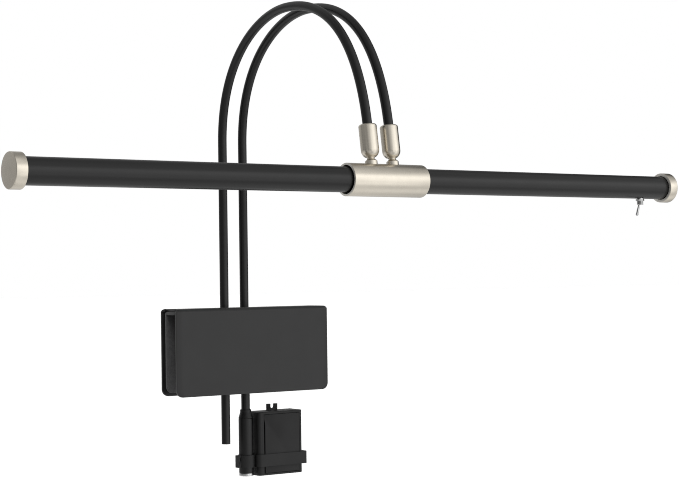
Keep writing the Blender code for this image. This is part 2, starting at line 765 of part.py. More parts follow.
def make_toggle():
    at = (TOGGLE_X, HEAD_Y, HEAD_Z)
    body_bottom = HEAD_Z - 0.0077
    box("toggle_body", (TOGGLE_X - 0.0040, HEAD_Y - 0.0023, body_bottom),
        (TOGGLE_X + 0.0040, HEAD_Y + 0.0023, HEAD_Z - 0.0012), "black_plastic", lamp_pivot)
    top = -0.0080
    bore = 0.00175
    bushing = [
        (bore, top), (BUSHING_RADIUS, top), (BUSHING_RADIUS, -TOGGLE_MOUTH + 0.0002),
        (BUSHING_RADIUS - 0.0002, -TOGGLE_MOUTH), (0.00226, -TOGGLE_MOUTH), (bore, -0.0122),
    ]
    turned("toggle_bushing", bushing, "bright_chrome", at, UPRIGHT, lamp_pivot, 24, True)
    nut_top = -TUBE_RADIUS - GAP
    nut = rod("toggle_nut", NUT_CORNER, nut_top - 0.0016, nut_top, UPRIGHT, at, "bright_chrome", 6, lamp_pivot)
    nut_hole = rod("nut_hole", BUSHING_RADIUS + GAP, -0.02, 0, UPRIGHT, at)
    boolean(nut, nut_hole)
    reach = (TOGGLE_TIP - TOGGLE_PIVOT) / math.cos(TOGGLE_LEAN)
    ball = 0.0014
    tip = 0.00115
    neck = 0.0008
    ball_low = math.acos(neck / ball)
    lever = [(0, 0.0021), (0.0006, 0.0021)]
    lever += arc((0, 0), ball, math.acos(0.0006 / ball), -ball_low, 8)
    lever += [(0.00082, -0.0042)]
    lever += arc((0, tip - reach), tip, 0, -math.pi / 2, 5)[:-1]
    lever += [(0, -reach)]
    turned("toggle_lever", lever, "bright_chrome", world_location(lever_pivot), (0, TOGGLE_LEAN, 0),
           lever_pivot, 20)


# ------------------------------------------------------- jack and power case

def make_jack():
    x = ARM_SPACING / 2
    at = (x, LEG_Y, 0)
    bore = ARM_RADIUS + GAP
    gland = [
        (bore, GLAND_TOP), (GLAND_RADIUS - 0.0005, GLAND_TOP), (GLAND_RADIUS, GLAND_TOP - 0.0006),
        (GLAND_RADIUS, GLAND_SHOULDER), (JACK_RADIUS, GLAND_FULL), (JACK_RADIUS, GLAND_BOTTOM),
        (bore, GLAND_BOTTOM),
    ]
    turned("jack_gland", gland, "black_plastic", at, UPRIGHT, arms_pivot, 32, True)
    top = GLAND_BOTTOM - GAP
    shelf = RIGHT_FOOT_Z - GAP
    barrel_bottom = JACK_BOTTOM
    insert_radius = 0.0044
    barrel = [
        (bore, top), (JACK_RADIUS, top), (JACK_RADIUS, barrel_bottom), (insert_radius + GAP, barrel_bottom),
        (insert_radius + GAP, shelf - 0.0012), (0.0020, shelf - 0.0012), (0.0020, shelf), (bore, shelf),
    ]
    turned("jack_barrel", barrel, "satin_black", at, UPRIGHT, arms_pivot, 32, True)
    ring_top = barrel_bottom - GAP
    ring = [
        (insert_radius + GAP, ring_top), (JACK_RADIUS, ring_top), (JACK_RADIUS, RING_BOTTOM + 0.0004),
        (JACK_RADIUS - 0.0004, RING_BOTTOM), (insert_radius + GAP, RING_BOTTOM),
    ]
    turned("jack_ring", ring, "bright_chrome", at, UPRIGHT, arms_pivot, 32, True)
    insert_top = shelf - 0.0012 - GAP
    insert_bottom = RING_BOTTOM + 0.0005
    socket_floor = insert_bottom + 0.0095
    insert = [
        (0, insert_top), (insert_radius, insert_top),
        (insert_radius, insert_bottom), (PLUG_BORE, insert_bottom),
        (PLUG_BORE, socket_floor), (0, socket_floor),
    ]
    turned("jack_insert", insert, "black_plastic", at, UPRIGHT, arms_pivot, 32)
    pin_top = socket_floor - GAP
    pin_bottom = insert_bottom + 0.0012
    pin = [
        (0, pin_top), (PIN_RADIUS, pin_top), (PIN_RADIUS, pin_bottom + 0.0005), (0.0007, pin_bottom),
        (0, pin_bottom),
    ]
    turned("jack_pin", pin, "contact_brass", at, UPRIGHT, arms_pivot, 16)


def case_plan(grow, back_corner, right_extra=0.0):
    """The power case seen from above, grown all round by this much."""
    left = CASE_LEFT - grow
    right = CASE_RIGHT + grow + right_extra
    front = CASE_FRONT - grow
    back = CASE_BACK + grow
    corner = CASE_CORNER + grow
    return rounded([
        (left, front, corner), (right, front, corner), (right, back, back_corner), (left, back, back_corner),
    ])


def make_power_case():
    middle = (CASE_LEFT + CASE_RIGHT) / 2
    height = CASE_TOP - CASE_BOTTOM
    inner_left = CASE_LEFT + CASE_WALL
    inner_right = CASE_RIGHT - CASE_WALL
    inner_front = CASE_FRONT + 2 * CASE_WALL
    inner_back = CASE_BACK - CASE_WALL
    inner_top = CASE_TOP - CASE_WALL
    inner_bottom = CASE_BOTTOM + CASE_WALL
    at = (0, 0, (CASE_TOP + CASE_BOTTOM) / 2)
    case = extruded("power_case", [case_plan(0, 0.001)], height, "black_plastic", at, UPRIGHT, arms_pivot)
    tab_bottom = CASE_TOP - 0.0008
    slot_centre = TAB_TOP - TAB_SLOT_DEPTH + TAB_SLOT / 2
    tab_outline = [(middle - TAB_WIDTH / 2, tab_bottom), (middle + TAB_WIDTH / 2, tab_bottom),
                   (middle + TAB_WIDTH / 2, TAB_TOP), (middle + TAB_SLOT / 2, TAB_TOP)]
    tab_outline += arc((middle, slot_centre), TAB_SLOT / 2, 0, -math.pi, 8)
    tab_outline += [(middle - TAB_SLOT / 2, TAB_TOP), (middle - TAB_WIDTH / 2, TAB_TOP)]
    tab = extruded("case_tab", [tab_outline], TAB_BACK - TAB_FRONT, None,
                   (0, (TAB_FRONT + TAB_BACK) / 2, 0), SECTION_Y)
    boolean(case, tab, "UNION")
    hollow = box("case_hollow", (inner_left, inner_front, inner_bottom),
                 (inner_right, inner_back, inner_top), None)
    boolean(case, hollow)
    window = box("case_window", (COVER_LEFT, CASE_FRONT - 0.01, COVER_BOTTOM),
                 (COVER_RIGHT, inner_front + 0.001, COVER_TOP), None)
    boolean(case, window)
    closed = COVER_LEFT + GAP
    opened = COVER_LEFT + COVER_GROOVE
    cover_outline = [
        (opened, COVER_BOTTOM + GAP),
        (COVER_RIGHT - GAP, COVER_BOTTOM + GAP), (COVER_RIGHT - GAP, COVER_TOP - GAP),
        (closed, COVER_TOP - GAP), (closed, COVER_GROOVE_TOP), (opened, COVER_GROOVE_FULL),
    ]
    extruded("power_cover", [cover_outline], CASE_WALL, "black_plastic", (0, CASE_FRONT + CASE_WALL / 2, 0),
             SECTION_Y, arms_pivot)
    board_back = inner_back - 0.0020
    board_front = board_back - 0.0014
    box("power_board", (inner_left + 0.0006, board_front, inner_bottom + 0.0006),
        (inner_right - 0.0006, board_back, inner_top - 0.0006), "board_green", arms_pivot)
    parts_back = board_front - GAP
    inductor = [(0, 0.0065), (0.0042, 0.0065), (0.0048, 0.0059), (0.0048, 0.0006), (0.0042, 0), (0, 0)]
    turned("power_inductor", inductor, "lead_grey", (middle - 0.006, parts_back - 0.0065, -0.103), ALONG_Y,
           arms_pivot, 24)
    capacitor = [(0, 0.0085), (0.0032, 0.0085), (0.0035, 0.0080), (0.0035, 0.0005), (0.0032, 0), (0, 0)]
    turned("power_capacitor", capacitor, "bright_chrome", (middle + 0.007, parts_back - 0.0085, -0.120),
           ALONG_Y, arms_pivot, 24)


def make_strap():
    """One moulded band round the jack barrel and the power case, with a lug on its left."""
    x = ARM_SPACING / 2
    height = STRAP_TOP - STRAP_BOTTOM
    at = (0, 0, (STRAP_TOP + STRAP_BOTTOM) / 2)
    outline = case_plan(GAP + STRAP_THICKNESS, 0.0022, STRAP_SIDE - STRAP_THICKNESS)
    band = extruded("strap_band", [outline], height, "black_plastic", at, UPRIGHT, arms_pivot)
    ring = rod("strap_ring", JACK_RADIUS + GAP + STRAP_RING, STRAP_BOTTOM, STRAP_TOP, UPRIGHT,
               (x, LEG_Y, 0), sides=48)
    boolean(band, ring, "UNION")
    lug = box("strap_lug", (STRAP_LUG_LEFT, LEG_Y - STRAP_LUG_DEPTH / 2, STRAP_BOTTOM),
              (x - JACK_RADIUS, LEG_Y + STRAP_LUG_DEPTH / 2, STRAP_TOP), None)
    boolean(band, lug, "UNION")
    case_space = extruded("strap_case_space", [case_plan(GAP, 0.0005)], 2 * height, None, at, UPRIGHT)
    boolean(band, case_space)
    barrel_space = rod("strap_barrel_space", JACK_RADIUS + GAP, STRAP_BOTTOM - 0.01, STRAP_TOP + 0.01,
                       UPRIGHT, (x, LEG_Y, 0), sides=32)
    boolean(band, barrel_space)


make_clip()
make_pads()
make_saddle()
make_arms()
make_swivels()
make_sleeve()
make_lamp()
make_toggle()
make_jack()
make_power_case()
make_strap()
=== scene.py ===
"""The picture light's looks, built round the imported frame.

Every visible piece is rebuilt here with finer geometry at the place the frame
gives it, in metres: +X along the lamp, +Y behind the panel, +Z up. The origin
is the middle of the clip's seat.
"""
import json
import math

import bmesh
import bpy
from mathutils import Matrix, Vector


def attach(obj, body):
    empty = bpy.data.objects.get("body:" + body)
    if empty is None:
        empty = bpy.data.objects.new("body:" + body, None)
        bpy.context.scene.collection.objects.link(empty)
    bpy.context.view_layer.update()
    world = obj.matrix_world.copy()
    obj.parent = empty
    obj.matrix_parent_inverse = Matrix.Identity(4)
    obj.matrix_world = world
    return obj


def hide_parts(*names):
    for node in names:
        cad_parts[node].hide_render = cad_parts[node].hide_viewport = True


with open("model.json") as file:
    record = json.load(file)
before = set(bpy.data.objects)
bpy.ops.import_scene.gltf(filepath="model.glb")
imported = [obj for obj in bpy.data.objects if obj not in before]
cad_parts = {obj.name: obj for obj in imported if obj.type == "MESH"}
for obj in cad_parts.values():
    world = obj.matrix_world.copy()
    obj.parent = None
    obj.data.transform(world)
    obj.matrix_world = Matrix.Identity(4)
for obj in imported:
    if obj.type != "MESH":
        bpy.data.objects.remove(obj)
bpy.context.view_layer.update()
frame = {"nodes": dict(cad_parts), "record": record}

GAP = 0.0003

# ------------------------------------------------------------------ materials

# The Mix node has float, vector and colour sockets under the same names, so the colour ones go by place.
MIX_COLOUR_A = 6
MIX_COLOUR_B = 7
MIX_COLOUR_RESULT = 2


class Shader:
    """A Principled material with short calls for its node tree."""

    def __init__(self, name, colour, roughness, metallic=0.0, **sockets):
        self.material = bpy.data.materials.new(name)
        self.material.use_nodes = True
        self.nodes = self.material.node_tree.nodes
        self.links = self.material.node_tree.links
        self.base = self.nodes["Principled BSDF"]
        self.colour = colour
        self.roughness = roughness
        self.set("Base Color", (*colour, 1.0))
        self.set("Roughness", roughness)
        self.set("Metallic", metallic)
        for socket, value in sockets.items():
            self.set(socket.replace("_", " "), value)
        coordinates = self.nodes.new("ShaderNodeTexCoord")
        self.place = coordinates.outputs["Object"]
        self.normal = None

    def set(self, socket, value):
        self.base.inputs[socket].default_value = value

    def stretched(self, scale):
        """Object coordinates scaled by a different amount along each axis."""
        node = self.nodes.new("ShaderNodeMapping")
        node.inputs["Scale"].default_value = scale
        self.links.new(self.place, node.inputs["Vector"])
        return node.outputs["Vector"]

    def noise(self, scale, detail=3.0, roughness=0.5, vector=None):
        node = self.nodes.new("ShaderNodeTexNoise")
        node.inputs["Scale"].default_value = scale
        node.inputs["Detail"].default_value = detail
        node.inputs["Roughness"].default_value = roughness
        self.links.new(vector or self.place, node.inputs["Vector"])
        return node.outputs["Fac"]

    def cells(self, scale):
        node = self.nodes.new("ShaderNodeTexVoronoi")
        node.inputs["Scale"].default_value = scale
        self.links.new(self.place, node.inputs["Vector"])
        return node.outputs["Distance"]

    def ranged(self, value, low, high, start=0.3, end=0.7):
        node = self.nodes.new("ShaderNodeMapRange")
        node.inputs["From Min"].default_value = start
        node.inputs["From Max"].default_value = end
        node.inputs["To Min"].default_value = low
        node.inputs["To Max"].default_value = high
        self.links.new(value, node.inputs["Value"])
        return node.outputs["Result"]

    def vary_roughness(self, value, amount):
        spread = self.ranged(value, self.roughness - amount, self.roughness + amount)
        self.links.new(spread, self.base.inputs["Roughness"])

    def vary_colour(self, value, amount, start=0.3, end=0.7):
        """Darker and lighter by this share of the base colour."""
        node = self.nodes.new("ShaderNodeMix")
        node.data_type = "RGBA"
        node.inputs[MIX_COLOUR_A].default_value = (*(c * (1 - amount) for c in self.colour), 1.0)
        node.inputs[MIX_COLOUR_B].default_value = (*(c * (1 + amount) for c in self.colour), 1.0)
        self.links.new(self.ranged(value, 0.0, 1.0, start, end), node.inputs[0])
        self.links.new(node.outputs[MIX_COLOUR_RESULT], self.base.inputs["Base Color"])

    def bump(self, height, depth):
        """Relief of this depth in metres, added to any relief already there."""
        node = self.nodes.new("ShaderNodeBump")
        node.inputs["Strength"].default_value = 1.0
        node.inputs["Distance"].default_value = depth
        self.links.new(height, node.inputs["Height"])
        if self.normal:
            self.links.new(self.normal, node.inputs["Normal"])
        self.normal = node.outputs["Normal"]
        self.links.new(self.normal, self.base.inputs["Normal"])


def satin_coat(name, colour, roughness, grain, depth):
    """Powder coat or satin paint: fine orange peel, with slightly uneven gloss."""
    made = Shader(name, colour, roughness, Specular_IOR_Level=0.4)
    made.vary_roughness(made.noise(60, 4), 0.03)
    made.vary_colour(made.noise(35, 5), 0.10)
    made.bump(made.noise(grain, 2, 0.6), depth)
    return made.material


def nickel(name, along):
    """Satin nickel with fine turning marks round the given axis."""
    made = Shader(name, NICKEL, 0.27, 1.0)
    scale = [140.0, 140.0, 140.0]
    scale[along] = 16000.0
    marks = made.noise(1.0, 3, 0.6, made.stretched(scale))
    made.vary_roughness(marks, 0.035)
    made.vary_colour(made.noise(180, 4), 0.025)
    made.bump(marks, 0.0000003)
    made.bump(made.noise(9000, 2), 0.0000002)
    return made.material


def rim_highlight_metal(name, colour, roughness):
    """A faced-off rim, rougher than the plating, and lighter in colour than the nickel: the lighter colour
    is a painted highlight that makes the rims read as bright lines.
    """
    made = Shader(name, colour, roughness, 1.0)
    made.vary_roughness(made.noise(300, 3), 0.04)
    made.bump(made.noise(7000, 2), 0.0000010)
    return made.material


def moulded(name, colour, roughness, specular=0.4):
    """Spark-eroded texture on moulded plastic."""
    made = Shader(name, colour, roughness, Specular_IOR_Level=specular)
    made.vary_roughness(made.noise(90, 3), 0.03)
    made.vary_colour(made.noise(50, 4), 0.08)
    made.bump(made.cells(5200), 0.000012)
    return made.material


def felt_material(name, colour):
    """Pressed felt with a fine, slightly uneven nap."""
    made = Shader(name, colour, 0.95, Sheen_Weight=0.25, Sheen_Roughness=0.5)
    fibres = made.noise(2600, 6, 0.7)
    made.vary_colour(made.noise(900, 6, 0.7), 0.35)
    made.bump(fibres, 0.00012)
    return made.material


def chrome_material(name, colour, roughness):
    made = Shader(name, colour, roughness, 1.0)
    made.vary_roughness(made.noise(700, 4), 0.04)
    made.bump(made.noise(2500, 3), 0.0000010)
    return made.material


def circuit_board():
    made = Shader("board_green", (0.03, 0.16, 0.07), 0.4)
    tracks = made.noise(1.0, 2, 0.5, made.stretched((220.0, 1.0, 900.0)))
    made.vary_colour(tracks, 0.35, 0.45, 0.55)
    made.bump(tracks, 0.00002)
    return made.material


def opal():
    made = Shader("diffuser_white", (0.86, 0.86, 0.84), 0.42, Subsurface_Weight=0.15, Subsurface_Scale=0.002)
    made.vary_roughness(made.noise(400, 3), 0.04)
    made.bump(made.noise(5000, 2), 0.000004)
    return made.material


def plain(name, colour, roughness, metallic=0.0):
    """For pieces sealed inside, still with a little variation."""
    made = Shader(name, colour, roughness, metallic)
    made.vary_colour(made.noise(500, 4), 0.12)
    made.vary_roughness(made.noise(300, 3), 0.05)
    return made.material


NICKEL = (0.655, 0.607, 0.522)
BLACK = (0.0045, 0.0045, 0.0046)

MATERIALS = {
    "arm_black": satin_coat("arm_black", BLACK, 0.33, 2600, 0.000003),
    "tube_black": satin_coat("tube_black", BLACK, 0.30, 2600, 0.000003),
    "clip_black": satin_coat("clip_black", (0.0085, 0.0085, 0.0087), 0.36, 3200, 0.000006),
    "saddle_black": satin_coat("saddle_black", BLACK, 0.36, 3200, 0.000006),
    "barrel_black": moulded("barrel_black", BLACK, 0.42),
    "felt": felt_material("felt", (0.078, 0.078, 0.079)),
    # The same felt at about a third of its brightness, for the seat lining: painted shade for the dimness
    # under the clip's top bend.
    "felt_painted_shade": felt_material("felt_painted_shade", (0.028, 0.028, 0.029)),
    "nickel_x": nickel("satin_nickel_x", 0),
    "nickel_z": nickel("satin_nickel_z", 2),
    # Rougher faced-off metal for the rims, with a colour lighter than the nickel that paints a bright
    # highlight along each end.
    "rim_painted_highlight": rim_highlight_metal("rim_painted_highlight", (0.90, 0.88, 0.83), 0.62),
    "bright_chrome": chrome_material("bright_chrome", (0.56, 0.56, 0.56), 0.14),
    "screw_steel": chrome_material("screw_steel", (0.20, 0.20, 0.205), 0.34),
    "brass": chrome_material("contact_brass", (0.72, 0.54, 0.26), 0.28),
    "black_plastic": moulded("black_plastic", BLACK, 0.45),
    "case_black": moulded("case_black", (0.0170, 0.0170, 0.0172), 0.52, specular=0.25),
    "seat_plastic": plain("seat_plastic", (0.82, 0.81, 0.77), 0.42),
    "diffuser_white": opal(),
    "board_white": plain("board_white", (0.80, 0.80, 0.78), 0.45),
    "phosphor": plain("phosphor", (0.88, 0.70, 0.20), 0.60),
    "board_green": circuit_board(),
    "lead_grey": plain("lead_grey", (0.08, 0.08, 0.085), 0.55),
    "capacitor_metal": plain("capacitor_metal", (0.66, 0.66, 0.67), 0.30, 1.0),
}
SLOT_LOOKS = {"satin_nickel": "nickel_z"}

for part in frame["record"]["subparts"]:
    node = frame["nodes"][part["node"]]
    looks = MATERIALS[SLOT_LOOKS.get(part["material_slot"], part["material_slot"])]
    for slot in node.material_slots:
        slot.material = looks

# ----------------------------------------------------------- modelling helpers

UPRIGHT = Matrix.Identity(3)
ALONG_X = Matrix.Rotation(math.pi / 2, 3, "Y")
ALONG_MINUS_X = Matrix.Rotation(-math.pi / 2, 3, "Y")
ALONG_Y = Matrix.Rotation(-math.pi / 2, 3, "X")
SECTION_X = Matrix(((0, 0, 1), (1, 0, 0), (0, 1, 0)))
SECTION_Y = Matrix(((1, 0, 0), (0, 0, -1), (0, 1, 0)))


def piece(name, shape, body, looks, nodes=(), sharp=30):
    """Turns a bmesh into a finished piece on a body."""
    bmesh.ops.recalc_face_normals(shape, faces=shape.faces)
    data = bpy.data.meshes.new(name)
    shape.to_mesh(data)
    shape.free()
    data.materials.append(MATERIALS[looks])
    data.shade_smooth()
    data.set_sharp_from_angle(angle=math.radians(sharp))
    made = bpy.data.objects.new(name, data)
    bpy.context.scene.collection.objects.link(made)
    if body:
        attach(made, body)
        if nodes:
            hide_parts(*nodes)
    return made


def paint_rim_highlight(made, directions):
    """Gives the faces square to the lamp, on the sides named by sign, the rougher rim metal whose light
    colour is a painted highlight along the ends.
    """
    made.data.materials.append(MATERIALS["rim_painted_highlight"])
    for face in made.data.polygons:
        if any(sign * face.normal.x > 0.9 for sign in directions):
            face.material_index = 1


def arc(centre, radius, start, end, pieces):
    """Points on an arc, angles in radians."""
    return [
        (
            centre[0] + radius * math.cos(start + (end - start) * i / pieces),
            centre[1] + radius * math.sin(start + (end - start) * i / pieces),
        )
        for i in range(pieces + 1)
    ]


def eased(points, closed=False, pieces=4):
    """An outline with each (x, y, radius) corner rounded by its radius."""
    outline = []
    for i, point in enumerate(points):
        here = Vector(point[:2])
        radius = point[2] if len(point) > 2 else 0
        last = i == len(points) - 1
        if radius == 0 or (not closed and (i == 0 or last)):
            outline.append((here.x, here.y))
            continue
        before = (Vector(points[i - 1][:2]) - here).normalized()
        after = (Vector(points[(i + 1) % len(points)][:2]) - here).normalized()
        half = before.angle(after) / 2
        centre = here + (before + after).normalized() * radius / math.sin(half)
        start = here + before * radius / math.tan(half) - centre
        end = here + after * radius / math.tan(half) - centre
        first = math.atan2(start.y, start.x)
        outline += arc(centre, radius, first, first - start.angle_signed(end), pieces)
    return outline


def turned(profile, at, turn, steps=96, ring=False):
    """A bmesh of (radius, height) points swept round the height axis.

    A radius may be a function of the angle. A ring's last point joins its first.
    """
    shape = bmesh.new()
    at = Vector(at)
    rows = []
    for radius, height in profile:
        if not callable(radius) and radius < 1e-7:
            rows.append([shape.verts.new(at + turn @ Vector((0, 0, height)))])
            continue
        row = []
        for i in range(steps):
            angle = 2 * math.pi * i / steps
            reach = radius(angle) if callable(radius) else radius
            point = Vector((reach * math.cos(angle), reach * math.sin(angle), height))
            row.append(shape.verts.new(at + turn @ point))
        rows.append(row)
    pairs = list(zip(rows, rows[1:]))
    if ring:
        pairs.append((rows[-1], rows[0]))
    for above, below in pairs:
        for i in range(steps):
            j = (i + 1) % steps
            corners = [above[i % len(above)], above[j % len(above)]]
            corners += [below[j % len(below)], below[i % len(below)]]
            shape.faces.new(list(dict.fromkeys(corners)))
    return shape


def extruded(outline, start, end, section, at=(0, 0, 0)):
    """A bmesh of an outline run from start to end across its own plane."""
    shape = bmesh.new()
    at = Vector(at)
    points = [shape.verts.new(at + section @ Vector((x, y, start))) for x, y in outline]
    edges = [shape.edges.new((points[i - 1], points[i])) for i in range(len(points))]
    filled = bmesh.ops.triangle_fill(shape, use_beauty=True, use_dissolve=False, edges=edges)
    faces = [f for f in filled["geom"] if isinstance(f, bmesh.types.BMFace)]
    moved = bmesh.ops.extrude_face_region(shape, geom=faces)
    points = [v for v in moved["geom"] if isinstance(v, bmesh.types.BMVert)]
    bmesh.ops.translate(shape, vec=section @ Vector((0, 0, end - start)), verts=points)
    bmesh.ops.dissolve_limit(shape, angle_limit=0.001, verts=shape.verts, edges=shape.edges)
    return shape


def box(low, high, edge=0.0):
    """A bmesh block between two corners, its edges rounded by edge."""
    shape = bmesh.new()
    low = Vector(low)
    high = Vector(high)
    bmesh.ops.create_cube(shape, size=1.0)
    bmesh.ops.scale(shape, vec=high - low, verts=shape.verts)
    bmesh.ops.translate(shape, vec=(low + high) / 2, verts=shape.verts)
    if edge:
        bmesh.ops.bevel(shape, geom=shape.edges[:], offset=edge, segments=3, profile=0.5, affect="EDGES")
    return shape


def cut(made, shape, operation="DIFFERENCE"):
    """Boolean with a throwaway cutter, applied at once."""
    cutter = piece("cutter", shape, None, "felt")
    change = made.modifiers.new("cut", "BOOLEAN")
    change.operation = operation
    change.solver = "EXACT"
    change.object = cutter
    apply(made)
    bpy.data.objects.remove(cutter, do_unlink=True)
    return made


def soften(made, width, pieces=3, angle=40):
    """Rounds the edges that a real pressed, moulded or machined piece doesn't have sharp."""
    bevel = made.modifiers.new("edges", "BEVEL")
    bevel.width = width
    bevel.segments = pieces
    bevel.limit_method = "ANGLE"
    bevel.angle_limit = math.radians(angle)
    bevel.harden_normals = True
    apply(made)
    return made


def apply(made):
    """Swaps the mesh for what its modifiers make of it."""
    graph = bpy.context.evaluated_depsgraph_get()
    graph.update()
    data = bpy.data.meshes.new_from_object(made.evaluated_get(graph))
    made.modifiers.clear()
    made.data = data
    data.shade_smooth()
    data.set_sharp_from_angle(angle=math.radians(30))


def swept(points, radius, bore):
    """A tube along points in a plane of constant x, open from end to end."""
    sides = 40
    shape = bmesh.new()
    rings = []
    for i, point in enumerate(points):
        ahead = points[min(i + 1, len(points) - 1)] - points[max(i - 1, 0)]
        up = Vector((0, -ahead.z, ahead.y)).normalized()
        side = Vector((1, 0, 0))
        rings.append([
            (point, math.cos(2 * math.pi * k / sides) * side + math.sin(2 * math.pi * k / sides) * up)
            for k in range(sides)
        ])
    edge = 0.0003
    start = (points[0] - points[1]).normalized()
    end = (points[-1] - points[-2]).normalized()
    loops = [(0, radius - edge, Vector()), (0, radius, -start * edge)]
    loops += [(i, radius, Vector()) for i in range(1, len(points) - 1)]
    loops += [(-1, radius, -end * edge), (-1, radius - edge, Vector())]
    loops += [(-1, bore, Vector())]
    loops += [(i, bore, Vector()) for i in range(len(points) - 2, 0, -1)]
    loops += [(0, bore, Vector())]
    rows = [
        [shape.verts.new(point + shift + reach * out) for point, out in rings[index]]
        for index, reach, shift in loops
    ]
    for above, below in zip(rows, rows[1:] + rows[:1]):
        for k in range(sides):
            m = (k + 1) % sides
            shape.faces.new((above[k], above[m], below[m], below[k]))
    return shape


def hexagon(across_flats, limit=1.0):
    """Radius of a hexagon by angle, cut off at a circle of this share of the half width."""
    half = across_flats / 2

    def radius(angle):
        turn = (angle + math.pi / 6) % (math.pi / 3) - math.pi / 6
        return min(half / math.cos(turn), half * limit)

    return radius


# ------------------------------------------------------------------ dimensions

HEAD_Y = -0.1948
HEAD_Z = 0.1005
LAMP_AXIS = Vector((0, HEAD_Y, HEAD_Z))
TILT = math.radians(8.5)
SWIVEL_DIRECTION = Vector((0, math.sin(TILT), math.cos(TILT)))
SWIVEL = Matrix.Rotation(-TILT, 3, "X")
SIDES = (("left", -1), ("right", 1))
ARM_X = 0.0099                  # from the middle plane to each arm
ARM_RADIUS = 0.00365
ARM_BORE = 0.00265
ARM_HOLE = ARM_RADIUS + GAP
ARM_FEET = (-0.1099, -0.0935)   # where the left and right legs end
LEG_Y = 0.0179
BEND_START = 0.1432             # height where the legs begin to arch over
CROWN_Y = -0.0818
CROWN_Z = 0.2446
TUBE_RADIUS = 0.0095
TUBE_BORE = 0.0083
LAMP_HALF = 0.3002              # half the lamp's length over its caps
SLEEVE_RADIUS = 0.0123
SLEEVE_BORE = 0.0107
SLEEVE_HALF = 0.0347
BUSH_BORE = 0.0098
BUSH_RADIUS = 0.0104
BUSH_OUTER_END = 0.0322
BUSH_INNER_END = 0.0202
CAP_RADIUS = 0.0123
CAP_BORE = 0.0098
CAP_DEPTH = 0.00825
CAP_WALL = 0.00225

# ----------------------------------------------------------------------- arms


def bezier(a, b, c, d, pieces):
    """Points after a on a cubic curve."""
    points = []
    for i in range(1, pieces + 1):
        t = i / pieces
        s = 1 - t
        points.append(a * s**3 + b * 3 * s * s * t + c * 3 * s * t * t + d * t**3)
    return points


def arm_route(x, foot):
    """The arm's centre line from its foot up the leg, over the arch and down into its socket."""
    end = LAMP_AXIS + 0.0300 * SWIVEL_DIRECTION
    end.x = x
    start = Vector((x, LEG_Y, BEND_START))
    top = Vector((x, CROWN_Y, CROWN_Z))
    points = [Vector((x, LEG_Y, foot + (BEND_START - foot) * i / 24)) for i in range(25)]
    points += bezier(start, start + Vector((0, 0, 0.0703)), top + Vector((0, 0.0432, 0)), top, 72)
    points += bezier(top, top - Vector((0, 0.0980, 0)), end + 0.0146 * SWIVEL_DIRECTION, end, 72)
    return points


for (side, sign), foot in zip(SIDES, ARM_FEET):
    route = arm_route(sign * ARM_X, foot)
    piece(f"arm_tube_{side}", swept(route, ARM_RADIUS, ARM_BORE), "arms", "arm_black",
          [f"arm_{side}"])

# -------------------------------------------------------------------- swivels

# Heights along the swivel's axis, from the lamp's axis.
SOCKET_MOUTH = 0.0176
SOCKET_TOP = 0.0422
SOCKET_RADIUS = 0.00685
MOUTH_RADIUS = 0.00435
CUP_RADIUS = 0.0048             # of the ball's seat in the socket
BALL_HEIGHT = 0.0202
BALL_RADIUS = 0.0045
NECK_RADIUS = 0.00265
NECK_END = 0.0162
STEM_RADIUS = 0.0019
STEM_BORE = 0.0011


def socket_profile():
    dome = SOCKET_MOUTH + math.sqrt(SOCKET_RADIUS**2 - MOUTH_RADIUS**2)
    drop = math.asin((dome - SOCKET_MOUTH) / SOCKET_RADIUS)
    shoulder = 0.0015
    outer = [(ARM_HOLE, SOCKET_TOP - 0.0001), (ARM_HOLE + 0.0002, SOCKET_TOP)]
    outer += arc((SOCKET_RADIUS - shoulder, SOCKET_TOP - shoulder), shoulder, math.pi / 2, 0, 10)
    outer += arc((0, dome), SOCKET_RADIUS, 0, -drop + 0.03, 20)
    outer += [(0.00430, SOCKET_MOUTH)]
    low = math.asin((BALL_HEIGHT - SOCKET_MOUTH) / CUP_RADIUS)
    inner = arc((0, BALL_HEIGHT), CUP_RADIUS, -low, 0, 10)
    inner += [(CUP_RADIUS, 0.0224), (0.0052, 0.0230), (0.0052, 0.0408), (ARM_HOLE, 0.0408)]
    return outer + inner


def stud_profile():
    crown = math.acos(STEM_BORE / BALL_RADIUS)
    neck = math.acos(NECK_RADIUS / BALL_RADIUS)
    return arc((0, BALL_HEIGHT), BALL_RADIUS, crown, -neck, 24) + [
        (NECK_RADIUS, NECK_END + 0.0002), (NECK_RADIUS, NECK_END), (STEM_RADIUS, NECK_END),
        (STEM_RADIUS, 0.0101), (STEM_BORE, 0.0101),
    ]


COLLAR = eased([
    (0.0020, NECK_END), (NECK_RADIUS, NECK_END), (0.00465, 0.0144, 0.0004), (0.00465, 0.0111),
    (0.0020, 0.0111),
])

for side, sign in SIDES:
    at = LAMP_AXIS + Vector((sign * ARM_X, 0, 0))
    piece(f"swivel_socket_{side}", turned(socket_profile(), at, SWIVEL, 96, True), "arms",
          "nickel_z", [f"socket_{side}"], 35)
    piece(f"swivel_ball_{side}", turned(stud_profile(), at, SWIVEL, 64, True), "head",
          "nickel_z", [f"ball_stud_{side}"])
    piece(f"swivel_collar_{side}", turned(COLLAR, at, SWIVEL, 96, True), "head",
          "nickel_z", [f"stud_collar_{side}"], 25)

# ------------------------------------------------------------------ lamp head

